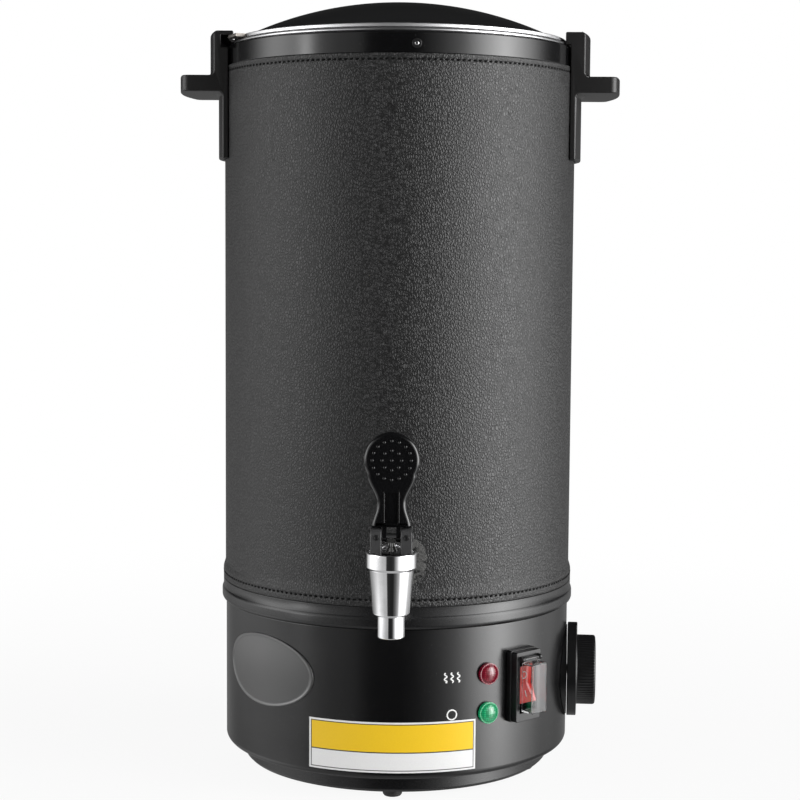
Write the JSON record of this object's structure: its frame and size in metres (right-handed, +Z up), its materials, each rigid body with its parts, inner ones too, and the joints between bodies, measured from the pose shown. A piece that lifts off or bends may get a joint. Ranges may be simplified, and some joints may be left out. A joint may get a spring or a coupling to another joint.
{
  "type": "wax melter",
  "caption": "Leather-wrapped cylindrical wax melter with a lever drain tap, twist-lock domed lid, side handles and a dry heating base with dial, lamps and guarded switch.",
  "frame": {"origin": "on the bench plane at the axis of the urn", "axes": "+Z up along the urn's axis, the tap looks along -Y, +X to the right seen from the tap side"},
  "size_m": [0.285, 0.2925, 0.4981],
  "materials": {
    "pot_steel": "satin brushed stainless",
    "lid_steel": "fine circular brushing",
    "dome_enamel": "high gloss black enamel",
    "band_enamel": "semi gloss black enamel",
    "base_enamel": "high gloss black enamel",
    "shell_steel": "dark primer",
    "leather": "fine pebbled black leatherette",
    "felt": "needled insulation felt",
    "handle_plastic": "fine spark texture",
    "ring_plastic": "satin gloss",
    "control_plastic": "satin gloss",
    "rubber": "matt",
    "chrome": "bright polished",
    "zinc": "zinc plated",
    "aluminium": "cast",
    "element_steel": "heat tinted sheath",
    "shield_steel": "bright mill finish",
    "copper": "bare copper",
    "brass": "plain brass",
    "phenolic": "moulded phenolic",
    "white_plastic": "moulded",
    "silicone": "translucent silicone",
    "red_lens": "ribbed lens",
    "green_lens": "ribbed lens",
    "red_plastic": "translucent moulding",
    "clear_plastic": "clear moulding",
    "badge_face": "domed resin",
    "label_film": "printed film",
    "wire_insulation": "sleeved",
    "lever_plastic": "fine texture"
  },
  "bodies": {
    "housing": {"pot": "pot_steel", "felt_sleeve": "felt", "outer_shell": "shell_steel", "leather_jacket": "leather", "rim_band": "band_enamel", "band_rivets": "chrome", "rivet_eyelets": "control_plastic", "handle_left": "handle_plastic", "handle_right": "handle_plastic", "handle_screws": "zinc", "transition_ring": "ring_plastic", "base_housing": "base_enamel", "bottom_pan": "ring_plastic", "rubber_feet": "rubber", "foot_screws": "zinc", "tie_studs": "zinc", "tie_nuts": "zinc", "heat_spreader": "aluminium", "heating_element": "element_steel", "element_clamp": "shield_steel", "heat_shield": "shield_steel", "thermal_cutout": "phenolic", "sensor_bulb": "copper", "capillary_tube": "copper", "thermostat_body": "white_plastic", "knob_seat": "control_plastic", "red_lamp_lens": "red_lens", "green_lamp_lens": "green_lens", "lamp_bodies": "white_plastic", "lamp_nuts": "white_plastic", "switch_bezel": "control_plastic", "switch_frame": "control_plastic", "terminal_block": "white_plastic", "earth_screw": "brass", "wiring": "wire_insulation", "cable_gland": "control_plastic", "gland_nut": "control_plastic", "oval_badge": "badge_face", "blank_label": "label_film", "tap_body": "chrome", "tap_bonnet": "control_plastic", "pivot_pin": "chrome", "tap_washer": "rubber", "inner_washer": "silicone", "shank_spacer": "white_plastic", "shank_nut": "zinc"},
    "lid_gasket": {"lid_seal": "silicone"},
    "lid": {"lid_rim": "lid_steel", "lid_dome": "dome_enamel"},
    "lever": {"tap_lever": "lever_plastic", "crank_pin": "zinc"},
    "stem": {"tap_stem": "zinc", "seat_cup": "silicone"},
    "rocker": {"switch_rocker": "red_plastic"},
    "flap": {"switch_flap": "clear_plastic"},
    "dial": {"knob": "control_plastic", "thermostat_spindle": "zinc"}
  },
  "joints": [
    {"name": "lid_lift", "type": "slide", "parent": "housing", "child": "lid_gasket", "axis": [0, 0, 1], "range_m": [0, 0.12]},
    {"name": "lid_turn", "type": "hinge", "parent": "lid_gasket", "child": "lid", "pos_m": [0, 0, 0.4717], "axis": [0, 0, -1], "range_deg": [0, 30]},
    {"name": "tap_lever_tilt", "type": "hinge", "parent": "housing", "child": "lever", "pos_m": [0, -0.15447, 0.1744], "axis": [1, 0, 0], "range_deg": [0, 55]},
    {"name": "stem_lift", "type": "slide", "parent": "housing", "child": "stem", "axis": [0, 0, 1], "range_m": [0, 0.00426]},
    {"name": "rocker_tilt", "type": "hinge", "parent": "housing", "child": "rocker", "pos_m": [0.07947, -0.08229, 0.07], "axis": [0.7193, 0.6947, 0], "range_deg": [0, 16]},
    {"name": "flap_swing", "type": "hinge", "parent": "housing", "child": "flap", "pos_m": [0.08558, -0.08862, 0.0877], "axis": [-0.7193, -0.6947, 0], "range_deg": [0, 110]},
    {"name": "dial_turn", "type": "hinge", "parent": "housing", "child": "dial", "pos_m": [0.11402, -0.00797, 0.062], "axis": [-0.9976, 0.0698, 0], "range_deg": [0, 270]}
  ],
  "couplings": [
    {"joint": "stem_lift", "follows": "tap_lever_tilt", "m_per_rad": 0.004425}
  ]
}
